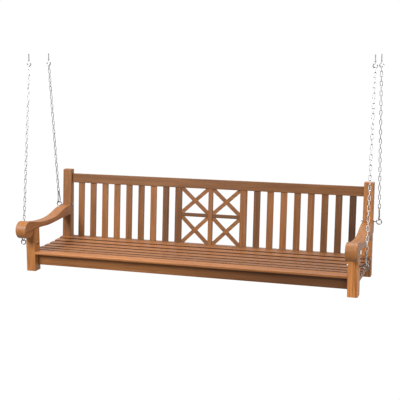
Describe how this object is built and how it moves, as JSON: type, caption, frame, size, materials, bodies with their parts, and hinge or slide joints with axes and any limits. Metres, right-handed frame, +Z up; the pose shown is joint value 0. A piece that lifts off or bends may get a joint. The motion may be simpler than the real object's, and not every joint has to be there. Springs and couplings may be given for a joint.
{
  "type": "porch swing",
  "caption": "Long slatted hardwood porch swing with scrolled arms and a lattice panel in its back, hung from ceiling hooks on steel chains with spring snap hooks.",
  "frame": {"origin": "on the ceiling plane, midway between the four ceiling hooks that hold the swing up", "axes": "+X along the bench to its right end as seen from the front, +Y from the front of the seat to its back, +Z up"},
  "size_m": [2.568, 0.807, 1.58],
  "materials": {
    "teak_frame": "sanded and oiled teak, honey brown",
    "teak_seat": "sanded and oiled teak, lighter honey brown",
    "teak_back": "sanded and oiled teak, honey brown",
    "zinc_chain": "bright zinc plating",
    "bright_steel": "bright zinc plating",
    "screw_steel": "dulled plating"
  },
  "bodies": {
    "ceiling": {"ceiling_hooks": "bright_steel"},
    "bench": {"left_front_post": "teak_frame", "left_rear_post": "teak_frame", "left_side_rail": "teak_frame", "left_arm": "teak_frame", "right_front_post": "teak_frame", "right_rear_post": "teak_frame", "right_side_rail": "teak_frame", "right_arm": "teak_frame", "front_rail": "teak_frame", "seat_bearers": "teak_frame", "seat_slat_1": "teak_seat", "seat_slat_2": "teak_seat", "seat_slat_3": "teak_seat", "seat_slat_4": "teak_seat", "seat_slat_5": "teak_seat", "seat_slat_6": "teak_seat", "seat_slat_7": "teak_seat", "seat_screws": "screw_steel", "rear_rail": "teak_frame", "top_rail": "teak_frame", "left_back_slat_1": "teak_back", "left_back_slat_2": "teak_back", "left_back_slat_3": "teak_back", "left_back_slat_4": "teak_back", "left_back_slat_5": "teak_back", "left_back_slat_6": "teak_back", "left_back_slat_7": "teak_back", "left_back_slat_8": "teak_back", "right_back_slat_1": "teak_back", "right_back_slat_2": "teak_back", "right_back_slat_3": "teak_back", "right_back_slat_4": "teak_back", "right_back_slat_5": "teak_back", "right_back_slat_6": "teak_back", "right_back_slat_7": "teak_back", "right_back_slat_8": "teak_back", "left_stile": "teak_back", "right_stile": "teak_back", "centre_stile": "teak_back", "mid_rails": "teak_back", "rising_lattice_bars": "teak_back", "falling_lattice_bars": "teak_back", "joint_pegs": "teak_frame", "eye_bolts": "bright_steel", "eye_bolt_nuts": "bright_steel", "eye_bolt_washers": "bright_steel"},
    "rear_left_chain": {"rear_left_chain": "zinc_chain", "rear_left_snap_hook": "bright_steel"},
    "rear_left_gate": {"rear_left_snap_gate": "bright_steel"},
    "rear_right_chain": {"rear_right_chain": "zinc_chain", "rear_right_snap_hook": "bright_steel"},
    "rear_right_gate": {"rear_right_snap_gate": "bright_steel"},
    "front_left_chain": {"front_left_chain": "zinc_chain", "front_left_snap_hook": "bright_steel"},
    "front_left_gate": {"front_left_snap_gate": "bright_steel"},
    "front_right_chain": {"front_right_chain": "zinc_chain", "front_right_snap_hook": "bright_steel"},
    "front_right_gate": {"front_right_snap_gate": "bright_steel"}
  },
  "joints": [
    {"name": "swing", "type": "hinge", "parent": "ceiling", "child": "rear_left_chain", "pos_m": [-1.262, 0.15399, -0.043], "axis": [1, 0, 0], "range_deg": [-15, 15]},
    {"name": "bench_pivot", "type": "hinge", "parent": "rear_left_chain", "child": "bench", "pos_m": [-1.262, 0.26529, -1.117], "axis": [1, 0, 0], "range_deg": [-10, 10]},
    {"name": "rear_left_gate_hinge", "type": "hinge", "parent": "rear_left_chain", "child": "rear_left_gate", "pos_m": [-1.262, 0.24919, -1.05444], "axis": [1, 0, 0], "range_deg": [0, 22], "stiffness_Nm_per_rad": 0.02, "springref_deg": -22.92},
    {"name": "rear_right_swing", "type": "hinge", "parent": "ceiling", "child": "rear_right_chain", "pos_m": [1.262, 0.15399, -0.043], "axis": [1, 0, 0], "range_deg": [-15.5, 15.5]},
    {"name": "rear_right_gate_hinge", "type": "hinge", "parent": "rear_right_chain", "child": "rear_right_gate", "pos_m": [1.262, 0.24919, -1.05444], "axis": [1, 0, 0], "range_deg": [0, 22], "stiffness_Nm_per_rad": 0.02, "springref_deg": -22.92},
    {"name": "front_left_swing", "type": "hinge", "parent": "ceiling", "child": "front_left_chain", "pos_m": [-1.262, -0.15399, -0.043], "axis": [1, 0, 0], "range_deg": [-15.5, 15.5]},
    {"name": "front_left_gate_hinge", "type": "hinge", "parent": "front_left_chain", "child": "front_left_gate", "pos_m": [-1.262, -0.32375, -1.24641], "axis": [1, 0, 0], "range_deg": [0, 22], "stiffness_Nm_per_rad": 0.02, "springref_deg": -22.92},
    {"name": "front_right_swing", "type": "hinge", "parent": "ceiling", "child": "front_right_chain", "pos_m": [1.262, -0.15399, -0.043], "axis": [1, 0, 0], "range_deg": [-15.5, 15.5]},
    {"name": "front_right_gate_hinge", "type": "hinge", "parent": "front_right_chain", "child": "front_right_gate", "pos_m": [1.262, -0.32375, -1.24641], "axis": [1, 0, 0], "range_deg": [0, 22], "stiffness_Nm_per_rad": 0.02, "springref_deg": -22.92}
  ],
  "couplings": [
    {"joint": "bench_pivot", "follows": "swing", "ratio": -0.54417},
    {"joint": "rear_right_swing", "follows": "swing", "ratio": 1},
    {"joint": "front_left_swing", "follows": "swing", "ratio": 0.91691},
    {"joint": "front_right_swing", "follows": "swing", "ratio": 0.91691}
  ]
}
